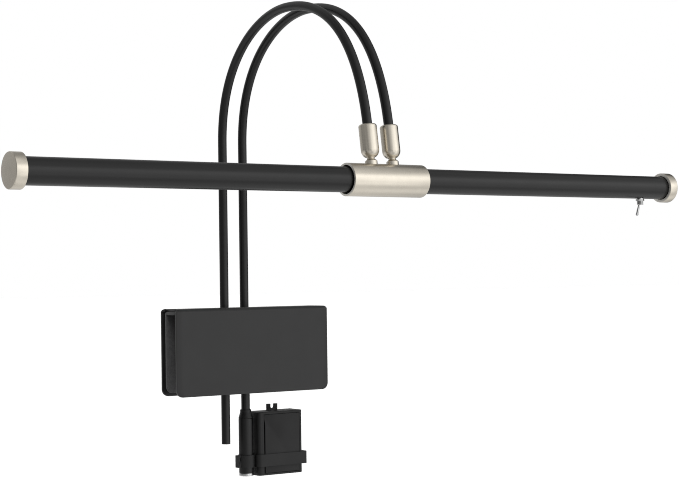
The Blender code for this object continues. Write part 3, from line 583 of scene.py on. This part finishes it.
sleeve = piece("sleeve_shell", turned(eased([
    (SLEEVE_BORE, SLEEVE_HALF), (SLEEVE_RADIUS, SLEEVE_HALF, 0.0004),
    (SLEEVE_RADIUS, -SLEEVE_HALF, 0.0004), (SLEEVE_BORE, -SLEEVE_HALF),
]), LAMP_AXIS, ALONG_X, 160, True), "head", "nickel_x", ["centre_sleeve"], 50)
paint_rim_highlight(sleeve, (-1, 1))
for side, facing in (("left", ALONG_MINUS_X), ("right", ALONG_X)):
    piece(f"sleeve_bushing_{side}", turned(eased([
        (BUSH_BORE, BUSH_OUTER_END), (BUSH_RADIUS, BUSH_OUTER_END),
        (BUSH_RADIUS, BUSH_INNER_END), (BUSH_BORE, BUSH_INNER_END),
    ]), LAMP_AXIS, facing, 96, True), "head", "black_plastic", [f"sleeve_bush_{side}"])

LIGHT_ANGLE = math.radians(45)
OPENING_HALF = math.radians(18)
FLANGE_HALF = math.radians(24)
TUBE_HALF = LAMP_HALF - CAP_WALL - GAP
BOARD_LEDGE = 0.0046            # from the middle of the opening to the ledge's edge
LEDGE_HIGH = 0.0026
LEDGE_LOW = 0.0016


def section_arc(radius, start, end, pieces):
    """Angles run from the middle of the light's opening."""
    angles = [LIGHT_ANGLE + start + (end - start) * i / pieces for i in range(pieces + 1)]
    return [(radius * math.sin(a), -radius * math.cos(a)) for a in angles]


def section_offset(across, outward):
    """A point of the tube's section, measured across the opening and out through it."""
    along = Vector((math.sin(LIGHT_ANGLE), -math.cos(LIGHT_ANGLE)))
    side = Vector((math.cos(LIGHT_ANGLE), math.sin(LIGHT_ANGLE)))
    point = across * side + outward * along
    return (point.x, point.y)


def tube_outline():
    low = math.acos(LEDGE_LOW / TUBE_BORE)
    high = math.acos(LEDGE_HIGH / TUBE_BORE)
    outline = section_arc(TUBE_RADIUS, OPENING_HALF, 2 * math.pi - OPENING_HALF, 140)
    outline += section_arc(TUBE_BORE, -OPENING_HALF, -high, 8)
    outline += [section_offset(-BOARD_LEDGE, height) for height in (LEDGE_HIGH, LEDGE_LOW)]
    outline += section_arc(TUBE_BORE, -low, low - 2 * math.pi, 40)
    outline += [section_offset(BOARD_LEDGE, height) for height in (LEDGE_LOW, LEDGE_HIGH)]
    outline += section_arc(TUBE_BORE, high, OPENING_HALF, 8)
    return outline


def lens_outline():
    lip = OPENING_HALF - GAP / TUBE_RADIUS
    outline = section_arc(TUBE_RADIUS - 0.0001, -lip, lip, 24)
    outline += section_arc(TUBE_BORE - GAP, lip, FLANGE_HALF, 3)
    outline += section_arc(0.0070, FLANGE_HALF, -FLANGE_HALF, 24)
    outline += section_arc(TUBE_BORE - GAP, -FLANGE_HALF, -lip, 3)
    return outline


tube = piece("tube_shell", extruded(tube_outline(), -TUBE_HALF, TUBE_HALF, SECTION_X, at=LAMP_AXIS),
             "lamp", "tube_black", ["lamp_tube"])
lens_end = TUBE_HALF - 0.0005
piece("light_lens", extruded(lens_outline(), -lens_end, lens_end, SECTION_X, at=LAMP_AXIS),
      "lamp", "diffuser_white", ["diffuser"])

for side, facing, inward in (("left", ALONG_MINUS_X, 1), ("right", ALONG_X, -1)):
    mouth = LAMP_HALF - CAP_DEPTH
    wall = LAMP_HALF - CAP_WALL
    cap = [(0, LAMP_HALF)] + eased([
        (0.001, LAMP_HALF), (CAP_RADIUS, LAMP_HALF, 0.0005), (CAP_RADIUS, mouth, 0.0005),
        (CAP_BORE, mouth, 0.0002), (CAP_BORE, wall), (0.001, wall),
    ], pieces=5) + [(0, wall)]
    end = piece(f"cap_{side}", turned(cap, LAMP_AXIS, facing, 160), "lamp", "nickel_x",
                [f"end_cap_{side}"], 50)
    paint_rim_highlight(end, (inward,))

# --------------------------------------------------------------- toggle switch

toggle = Vector((0.2676, HEAD_Y, HEAD_Z))
SWITCH_HOLE = 0.00295           # radius of the hole in the tube
LEVER_PIVOT = 0.0105            # below the lamp's axis, as is the tip
LEVER_TIP = 0.0238
LEVER_LEAN = math.radians(17)
NUT_FLATS = 0.00641
NUT_HEIGHT = 0.0016
NUT_BORE = 0.00272


def bushing_profile():
    """Threaded outside, flared mouth inside."""
    outer = [(0.00175, -0.0080), (0.00262, -0.0080), (0.00262, -0.0098)]
    thread_top = -0.0100
    pitch = 0.0005
    for i in range(8):
        height = thread_top - i * pitch
        outer += [(0.00265, height), (0.00265, height - 0.00012), (0.00240, height - 0.00025),
                  (0.00265, height - 0.00040)]
    outer += [(0.00262, -0.0142), (0.00248, -0.0145), (0.00226, -0.0145), (0.00175, -0.0122)]
    return outer


def nut_profile():
    top = -TUBE_RADIUS - GAP
    low = top - NUT_HEIGHT
    full = hexagon(NUT_FLATS, 2.0)
    eased_corner = hexagon(NUT_FLATS, 1.02)
    return [
        (NUT_BORE, top), (eased_corner, top), (full, top - 0.0003), (full, low + 0.0003),
        (eased_corner, low), (0.0030, low), (NUT_BORE, low + 0.0002),
    ]


def lever_profile():
    reach = (LEVER_TIP - LEVER_PIVOT) / math.cos(LEVER_LEAN)
    ball = 0.0014
    tip = 0.00115
    outline = [(0, 0.0021), (0.0005, 0.0021), (0.0006, 0.0020)]
    outline += arc((0, 0), ball, math.acos(0.0006 / ball), -math.acos(0.0008 / ball), 12)
    outline += [(0.00079, -0.0030), (0.00082, -0.0050), (0.00098, -0.0085)]
    outline += arc((0, tip - reach), tip, 0.1, -math.pi / 2, 10)[:-1]
    return outline + [(0, -reach)]


hole = [(0, -0.005), (SWITCH_HOLE, -0.005), (SWITCH_HOLE, -0.012), (0, -0.012)]
cut(tube, turned(hole, toggle, UPRIGHT, 48))
piece("switch_bushing", turned(bushing_profile(), toggle, UPRIGHT, 64, True), "lamp",
      "bright_chrome", ["toggle_bushing"], 50)
piece("switch_nut", turned(nut_profile(), toggle, UPRIGHT, 72, True), "lamp",
      "bright_chrome", ["toggle_nut"], 20)
lean = Matrix.Rotation(LEVER_LEAN, 3, "Y")
piece("switch_lever", turned(lever_profile(), toggle - Vector((0, 0, LEVER_PIVOT)), lean, 48), "lever",
      "bright_chrome", ["toggle_lever"], 40)

# ----------------------------------------------------------------------- clip

CLIP_HALF = 0.074
CLIP_DEPTH = 0.0253
CLIP_TOP = 0.0050
CLIP_BOTTOM = -0.0663
CLIP_LOW_CORNER = 0.0058
CLIP_HIGH_CORNER = 0.0025
BEND = 0.003
SHEET = 0.002
PAD = 0.002
PAD_MARGIN = 0.0026             # from a pad's edge to the sheet's edge
PAD_TOP = 0.0024
SEAT_PAD = 0.0027


def clip_half_width(z):
    """The front view's outline: half the width at this height."""
    low = CLIP_LOW_CORNER - (z - CLIP_BOTTOM)
    high = CLIP_HIGH_CORNER - (CLIP_TOP - z)
    shrink = 0.0
    if low > 0:
        shrink = CLIP_LOW_CORNER - math.sqrt(max(CLIP_LOW_CORNER**2 - low**2, 0))
    if high > 0:
        shrink = max(shrink, CLIP_HIGH_CORNER - math.sqrt(max(CLIP_HIGH_CORNER**2 - high**2, 0)))
    return CLIP_HALF - shrink


def clip_shell():
    """One bent sheet: its outer face as a grid, its thickness added inwards."""
    front = -CLIP_DEPTH / 2
    corner_steps = [CLIP_LOW_CORNER * (1 - math.cos(math.pi / 2 * i / 10)) for i in range(11)]
    side = [CLIP_BOTTOM + step for step in corner_steps] + [CLIP_TOP - BEND - 0.0002]
    up = [(front, z) for z in side]
    up += arc((front + BEND, CLIP_TOP - BEND), BEND, math.pi, math.pi / 2, 8)
    down = [(-y, z) for y, z in reversed(up)]
    shape = bmesh.new()
    columns = 24
    rows = []
    for y, z in up + down:
        reach = clip_half_width(z)
        rows.append([shape.verts.new((reach * (2 * i / columns - 1), y, z)) for i in range(columns + 1)])
    for above, below in zip(rows, rows[1:]):
        for i in range(columns):
            shape.faces.new((above[i], above[i + 1], below[i + 1], below[i]))
    return shape


clip = piece("clip_shell", clip_shell(), "clip", "clip_black", ["clip_body"])
thick = clip.modifiers.new("sheet", "SOLIDIFY")
thick.thickness = SHEET
thick.offset = -1
thick.use_even_offset = True
apply(clip)
soften(clip, 0.00045, 3, 60)


pad_reach = CLIP_HALF - PAD_MARGIN
pad_low = CLIP_BOTTOM + PAD_MARGIN
pad_outline = eased([
    (-pad_reach, pad_low, 0.0053), (pad_reach, pad_low, 0.0053), (pad_reach, PAD_TOP, 0.0012),
    (-pad_reach, PAD_TOP, 0.0012),
], True, 8)
for side, sign in (("front", -1), ("rear", 1)):
    pad_y = sign * (CLIP_DEPTH / 2 - SHEET - GAP - PAD / 2)
    pad = piece(f"pad_{side}", extruded(pad_outline, -PAD / 2, PAD / 2, SECTION_Y, at=(0, pad_y, 0)),
                "clip", "felt", [f"{side}_pad"])
    soften(pad, 0.0004, 3)
seat_half = CLIP_DEPTH / 2 - SHEET - GAP - PAD - GAP
# The seat lining takes the darker felt copy, whose colour is painted shade for the shadow under the clip's
# top.
seat_lining = piece("pad_seat", box((-pad_reach, -seat_half, 0), (pad_reach, seat_half, SEAT_PAD), 0.0003),
                    "clip", "felt_painted_shade", ["seat_pad"])

# --------------------------------------------------------------------- saddle


SADDLE_HALF = 0.023
SADDLE_TOP = -0.012
SADDLE_BOTTOM = -0.052
SADDLE_BACK = 0.0245
SCREW_X = 0.0185
SCREW_HEIGHTS = (-0.019, -0.045)


def saddle(name, flat, edge_y, corner, node):
    """A block with a groove for each arm, seen from above; the grooves open at flat."""
    reach = math.asin(abs(flat - LEG_Y) / ARM_HOLE)
    outward = 1 if edge_y > flat else -1
    outline = [(-SADDLE_HALF, flat)]
    for x in (-ARM_X, ARM_X):
        outline += arc((x, LEG_Y), ARM_HOLE, outward * (math.pi - reach), outward * reach, 16)
    outline += [(SADDLE_HALF, flat)]
    outline += eased([
        (SADDLE_HALF, flat), (SADDLE_HALF, edge_y, corner), (-SADDLE_HALF, edge_y, corner),
        (-SADDLE_HALF, flat),
    ])[1:-1]
    made = piece(name, extruded(outline, SADDLE_BOTTOM, SADDLE_TOP, UPRIGHT), "clip",
                 "saddle_black", [node])
    soften(made, 0.0005, 2, 60)


saddle("saddle_rear_half", LEG_Y + GAP / 2, SADDLE_BACK, 0.002, "saddle_cap")
saddle("saddle_front_half", LEG_Y - GAP / 2, CLIP_DEPTH / 2 + GAP, 0.0, "saddle_base")

head = SADDLE_BACK + GAP
screw_end = 0.01065
screw = [
    (0, head + 0.0008), (hexagon(0.0020, 2.0), head + 0.0008), (hexagon(0.0020, 2.0), head + 0.0018),
    (0.0014, head + 0.0019), (0.0019, head + 0.0018), (0.0024, head + 0.0014), (0.0027, head + 0.0008),
    (0.0027, head + 0.0001), (0.0026, head), (0.0015, head), (0.0015, screw_end), (0, screw_end),
]
for i, (x, z) in enumerate([(x, z) for z in SCREW_HEIGHTS for x in (-SCREW_X, SCREW_X)], 1):
    piece(f"screw_{i}", turned(screw, (x, 0, z), ALONG_Y, 48), "clip", "screw_steel",
          [f"saddle_screw_{i}"])

# ------------------------------------------------------- jack and power case

jack = Vector((ARM_X, LEG_Y, 0))
BARREL = 0.0061                 # outer radius
BARREL_BORE = 0.0047
GLAND_NECK = 0.0047
LEAD_HOLE = 0.0020
GLAND_TOP = -0.0819
GLAND_BOTTOM = -0.0892
BARREL_TOP = GLAND_BOTTOM - GAP
BARREL_BOTTOM = -0.1353
BARREL_WALL_TOP = -0.0938
BARREL_WALL_BOTTOM = -0.0950
RING_TOP = BARREL_BOTTOM - GAP
RING_BOTTOM = -0.1380
CORE_RADIUS = BARREL_BORE - GAP
CORE_TOP = BARREL_WALL_BOTTOM - GAP
CORE_MOUTH = 0.00275            # radius of the hole for the plug
CORE_BOTTOM = -0.1375
MOUTH_END = -0.1280
PIN_RADIUS = 0.00105
PIN_TOP = MOUTH_END - GAP
PIN_TIP = -0.1363

piece("jack_gland_body", turned(eased([
    (ARM_HOLE, GLAND_TOP), (GLAND_NECK, GLAND_TOP, 0.0004), (GLAND_NECK, -0.0842, 0.0008),
    (BARREL, -0.0888, 0.0008), (BARREL, GLAND_BOTTOM), (ARM_HOLE, GLAND_BOTTOM),
]), jack, UPRIGHT, 80, True), "arms", "black_plastic", ["jack_gland"], 40)
piece("jack_shell", turned(eased([
    (ARM_HOLE, BARREL_TOP), (BARREL, BARREL_TOP, 0.0001), (BARREL, BARREL_BOTTOM, 0.0002),
    (BARREL_BORE, BARREL_BOTTOM), (BARREL_BORE, BARREL_WALL_BOTTOM), (LEAD_HOLE, BARREL_WALL_BOTTOM),
    (LEAD_HOLE, BARREL_WALL_TOP), (ARM_HOLE, BARREL_WALL_TOP),
]), jack, UPRIGHT, 80, True), "arms", "barrel_black", ["jack_barrel"], 40)
piece("jack_mouth_ring", turned(eased([
    (BARREL_BORE, RING_TOP), (BARREL, RING_TOP, 0.0002), (BARREL, RING_BOTTOM, 0.0006),
    (BARREL_BORE, RING_BOTTOM, 0.0002),
], True), jack, UPRIGHT, 80, True), "arms", "bright_chrome", ["jack_ring"], 40)
piece("jack_core", turned(eased([
    (0, CORE_TOP), (CORE_RADIUS, CORE_TOP), (CORE_RADIUS, CORE_BOTTOM, 0.0002),
    (CORE_MOUTH, CORE_BOTTOM, 0.0003), (CORE_MOUTH, MOUTH_END), (0, MOUTH_END),
]), jack, UPRIGHT, 64), "arms", "black_plastic", ["jack_insert"], 40)
piece("jack_contact", turned([
    (0, PIN_TOP), (PIN_RADIUS, PIN_TOP), (PIN_RADIUS, PIN_TIP + 0.0005), (0.0009, PIN_TIP + 0.0001),
    (0.0005, PIN_TIP), (0, PIN_TIP),
], jack, UPRIGHT, 32), "arms", "brass", ["jack_pin"])

CASE_LEFT, CASE_RIGHT = 0.0172, 0.0622
CASE_FRONT, CASE_BACK = 0.0094, 0.0288
CASE_TOP, CASE_BOTTOM = -0.0845, -0.1382
CASE_CORNER = 0.0030
WINDOW_LEFT, WINDOW_RIGHT = 0.0227, 0.0590
WINDOW_TOP, WINDOW_BOTTOM = -0.0865, -0.1366
WINDOW_FRONT = -0.01            # the cutter starts well clear of the case
WINDOW_DEPTH = 0.0018
COVER_LEFT, COVER_RIGHT = WINDOW_LEFT + GAP, WINDOW_RIGHT - GAP
COVER_TOP, COVER_BOTTOM = WINDOW_TOP - GAP, WINDOW_BOTTOM + GAP
COVER_SHEET = 0.0016
COVER_GROOVE_LEFT = 0.0239      # where the cover's edge stands off from the case
LUG_HALF = 0.00515
LUG_TOP = -0.0789
LUG_FRONT, LUG_BACK = 0.0220, 0.0242
SLOT_DEPTH = 0.0040
SLOT_RADIUS = 0.0019


def case_plan(grow, back_corner, right_extra=0.0):
    """The case seen from above, grown all round and a little more on its right side."""
    left, right = CASE_LEFT - grow, CASE_RIGHT + grow + right_extra
    front, back = CASE_FRONT - grow, CASE_BACK + grow
    corner = CASE_CORNER + grow
    return eased([(left, front, corner), (right, front, corner), (right, back, back_corner),
                  (left, back, back_corner)], True, 10)


case = piece("case_body", extruded(case_plan(0, 0.001), CASE_BOTTOM, CASE_TOP, UPRIGHT),
             "arms", "case_black", ["power_case"])
soften(case, 0.0006, 3)
window_low = (WINDOW_LEFT, WINDOW_FRONT, WINDOW_BOTTOM)
window_high = (WINDOW_RIGHT, CASE_FRONT + WINDOW_DEPTH, WINDOW_TOP)
cut(case, box(window_low, window_high))
cover_outline = eased([
    (COVER_GROOVE_LEFT, COVER_BOTTOM, 0.0003), (COVER_RIGHT, COVER_BOTTOM, 0.0003),
    (COVER_RIGHT, COVER_TOP, 0.0003), (COVER_LEFT, COVER_TOP, 0.0003),
    (COVER_LEFT, -0.0905), (COVER_GROOVE_LEFT, -0.0950),
], True)
cover = piece("case_cover", extruded(cover_outline, -CASE_FRONT - COVER_SHEET, -CASE_FRONT, SECTION_Y),
              "arms", "case_black", ["power_cover"])
soften(cover, 0.0002, 2, 50)

middle = (CASE_LEFT + CASE_RIGHT) / 2
lug_root = CASE_TOP - 0.0010
lug_outline = [(middle - LUG_HALF, lug_root), (middle + LUG_HALF, lug_root), (middle + LUG_HALF, LUG_TOP),
               (middle + SLOT_RADIUS, LUG_TOP)]
lug_outline += arc((middle, LUG_TOP - SLOT_DEPTH + SLOT_RADIUS), SLOT_RADIUS, 0, -math.pi, 16)
lug_outline += [(middle - SLOT_RADIUS, LUG_TOP), (middle - LUG_HALF, LUG_TOP)]
lug = piece("case_lug", extruded(lug_outline, -LUG_BACK, -LUG_FRONT, SECTION_Y), "arms",
            "case_black")
soften(lug, 0.0002, 2)

STRAP_TOP, STRAP_BOTTOM = -0.1203, -0.1306
STRAP_OUT = 0.0012              # from the barrel or case to the strap's outer face
STRAP_SIDE = 0.0037             # what its right side stands out beyond that
STRAP_LUG_LEFT = 0.0006
STRAP_LUG_HALF = 0.0025


def strap_disc(radius, top, bottom):
    """A cutter round the barrel's axis."""
    return turned([(0, top), (radius, top), (radius, bottom), (0, bottom)], jack, UPRIGHT, 96)


band = piece("band", extruded(case_plan(STRAP_OUT, 0.0022, STRAP_SIDE), STRAP_BOTTOM, STRAP_TOP, UPRIGHT),
             "arms", "case_black", ["strap_band"])
cut(band, strap_disc(BARREL + STRAP_OUT, STRAP_TOP, STRAP_BOTTOM), "UNION")
strap_lug_low = (STRAP_LUG_LEFT, LEG_Y - STRAP_LUG_HALF, STRAP_BOTTOM)
strap_lug_high = (ARM_X - BARREL, LEG_Y + STRAP_LUG_HALF, STRAP_TOP)
cut(band, box(strap_lug_low, strap_lug_high), "UNION")
cut(band, extruded(case_plan(GAP, 0.0005), STRAP_BOTTOM - 0.01, STRAP_TOP + 0.01, UPRIGHT))
cut(band, strap_disc(BARREL + GAP, -0.1, -0.15))
soften(band, 0.0002, 2, 50)

# ----------------------------------------------------- floor, light and camera

FLOOR_Z = -0.45
FLOOR_SIZE = 40
YAW = math.radians(35.42)       # the camera's, left of straight on
PITCH = math.radians(1.28)
ROLL = math.radians(-0.81)
CAMERA_AT = Vector((-0.7496, -1.1909, 0.0296))
FOCAL_LENGTH = 88.94            # mm, on a sensor this wide
SENSOR_WIDTH = 36.0

floor_shape = bmesh.new()
bmesh.ops.create_grid(floor_shape, x_segments=1, y_segments=1, size=FLOOR_SIZE)
bmesh.ops.translate(floor_shape, vec=(0, 0, FLOOR_Z), verts=floor_shape.verts)
paper = Shader("pale_floor", (0.93, 0.93, 0.925), 0.9)
paper.vary_colour(paper.noise(3, 3), 0.004)
MATERIALS["pale_floor"] = paper.material
floor = piece("floor", floor_shape, None, "pale_floor")
floor.visible_glossy = False
floor.visible_diffuse = False


def bearing(right, up):
    """A direction from the object, right of where the camera stands, and up."""
    angle = YAW - math.radians(right)
    up = math.radians(up)
    return (-math.sin(angle) * math.cos(up), -math.cos(angle) * math.cos(up), math.sin(up))


def studio_world(lobes):
    """A soft surround: white where the camera looks, and broad soft boxes where the surfaces do."""
    world = bpy.data.worlds.new("studio")
    bpy.context.scene.world = world
    world.use_nodes = True
    nodes = world.node_tree.nodes
    links = world.node_tree.links
    out = nodes["World Output"]
    direction = nodes.new("ShaderNodeTexCoord").outputs["Generated"]
    total = None
    for right_of, above, spread, strength in lobes:
        dot = nodes.new("ShaderNodeVectorMath")
        dot.operation = "DOT_PRODUCT"
        dot.inputs[1].default_value = bearing(right_of, above)
        links.new(direction, dot.inputs[0])
        fade = nodes.new("ShaderNodeMapRange")
        fade.interpolation_type = "SMOOTHERSTEP"
        fade.inputs["From Min"].default_value = math.cos(math.radians(spread))
        fade.inputs["From Max"].default_value = 1.0
        fade.inputs["To Min"].default_value = 0.0
        fade.inputs["To Max"].default_value = strength
        links.new(dot.outputs["Value"], fade.inputs["Value"])
        if total is None:
            total = fade.outputs["Result"]
            continue
        add = nodes.new("ShaderNodeMath")
        add.operation = "ADD"
        links.new(total, add.inputs[0])
        links.new(fade.outputs["Result"], add.inputs[1])
        total = add.outputs["Value"]
    seen = nodes.new("ShaderNodeBackground")
    seen.inputs["Strength"].default_value = 1.0
    seen.inputs["Color"].default_value = (1, 1, 1, 1)
    lit = nodes.new("ShaderNodeBackground")
    links.new(total, lit.inputs["Strength"])
    path = nodes.new("ShaderNodeLightPath")
    mix = nodes.new("ShaderNodeMixShader")
    links.new(path.outputs["Is Camera Ray"], mix.inputs[0])
    links.new(lit.outputs["Background"], mix.inputs[1])
    links.new(seen.outputs["Background"], mix.inputs[2])
    links.new(mix.outputs["Shader"], out.inputs["Surface"])


studio_world([
    # bearing right of the camera, elevation, half width, strength
    (-162, 0, 42, 0.29),
    (-126, 0, 42, 0.43),
    (-90, 0, 42, 0.10),
    (-54, 0, 42, 0.21),
    (-18, 0, 42, 0.21),
    (18, 0, 42, 0.43),
    (54, 0, 42, 0.60),
    (90, 0, 42, 0.50),
    (-150, 45, 52, 0.48),
    (-90, 45, 52, 0.29),
    (-30, 45, 52, 0.19),
    (30, 45, 52, 0.54),
    (90, 45, 52, 0.67),
    (-150, -45, 52, 0.44),
    (-90, -45, 52, 0.75),
    (-30, -45, 52, 0.38),
    (30, -45, 52, 0.45),
    (90, -45, 52, 0.56),
    (150, -45, 52, 0.65),
    (70, 12, 26, 0.55),
    (100, 12, 34, 0.55),
    (42, 8, 34, 0.60),
    (-170, 5, 34, 0.27),
    (70, -14, 24, 0.35),
    (70, -48, 45, 0.24),
])

sun_data = bpy.data.lights.new("overhead", "SUN")
sun_data.energy = 2.3
sun_data.angle = math.radians(50)
sun = bpy.data.objects.new("overhead", sun_data)
bpy.context.scene.collection.objects.link(sun)
sun.rotation_euler = (math.radians(12), math.radians(-10), 0)
sun.visible_glossy = False

forward = Vector((math.sin(YAW) * math.cos(PITCH), math.cos(YAW) * math.cos(PITCH), math.sin(PITCH)))
level = Vector((math.cos(YAW), -math.sin(YAW), 0))
upward = level.cross(forward)
right = math.cos(ROLL) * level + math.sin(ROLL) * upward
up = math.cos(ROLL) * upward - math.sin(ROLL) * level
camera_data = bpy.data.cameras.new("camera")
camera_data.lens = FOCAL_LENGTH
camera_data.sensor_width = SENSOR_WIDTH
camera = bpy.data.objects.new("camera", camera_data)
bpy.context.scene.collection.objects.link(camera)
camera.matrix_world = Matrix((
    (right.x, up.x, -forward.x, CAMERA_AT.x),
    (right.y, up.y, -forward.y, CAMERA_AT.y),
    (right.z, up.z, -forward.z, CAMERA_AT.z),
    (0, 0, 0, 1),
))
bpy.context.scene.camera = camera
bpy.context.scene.view_settings.view_transform = "Standard"
bpy.context.scene.cycles.filter_width = 1.0
